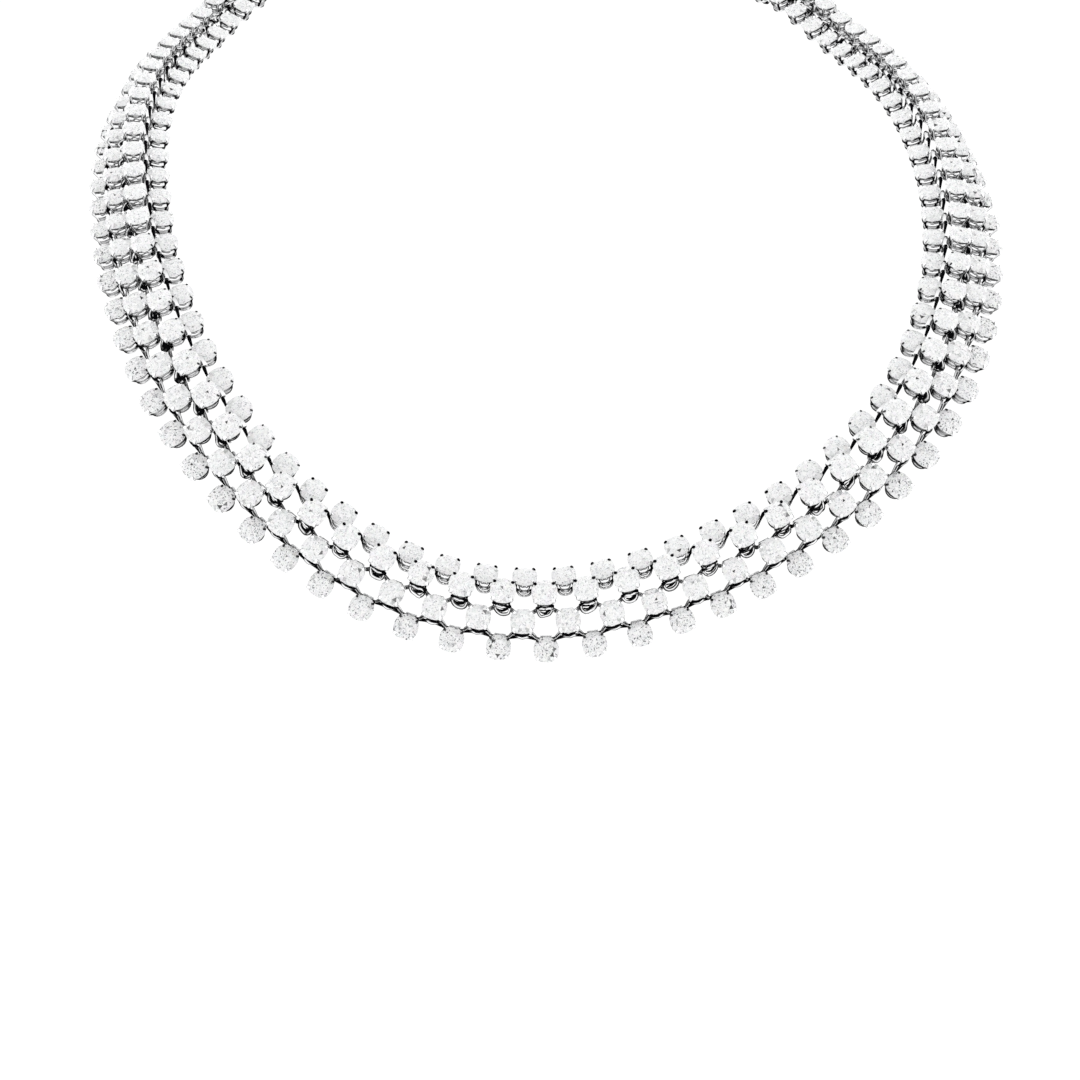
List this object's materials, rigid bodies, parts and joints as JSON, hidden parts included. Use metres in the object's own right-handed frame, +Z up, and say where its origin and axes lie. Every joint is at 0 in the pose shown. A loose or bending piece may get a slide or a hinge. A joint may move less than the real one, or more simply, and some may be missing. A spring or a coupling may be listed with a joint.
{
  "type": "four-row riviere necklace",
  "caption": "Collar riviere necklace of claw-set round stones in staggered rows, each link hinged to the row above, in the form it takes round a neck.",
  "frame": {"origin": "middle of the nape on the top row of stones, where the necklace hangs on the back of the neck", "axes": "+Z up, +Y towards the back, +X towards the left side of the wearer, so the front of the loop is at -Y"},
  "size_m": [0.1209, 0.1494, 0.0724],
  "materials": {
    "set_stones": "colourless faceted stones in polished white-metal claw settings",
    "clasp_metal": "polished white metal"
  },
  "bodies": {
    "root": {"row_1": "set_stones", "row_2": "set_stones", "row_3": "set_stones", "row_4": "set_stones", "back_rows_left": "set_stones", "back_rows_right": "set_stones", "clasp": "clasp_metal"}
  },
  "joints": []
}
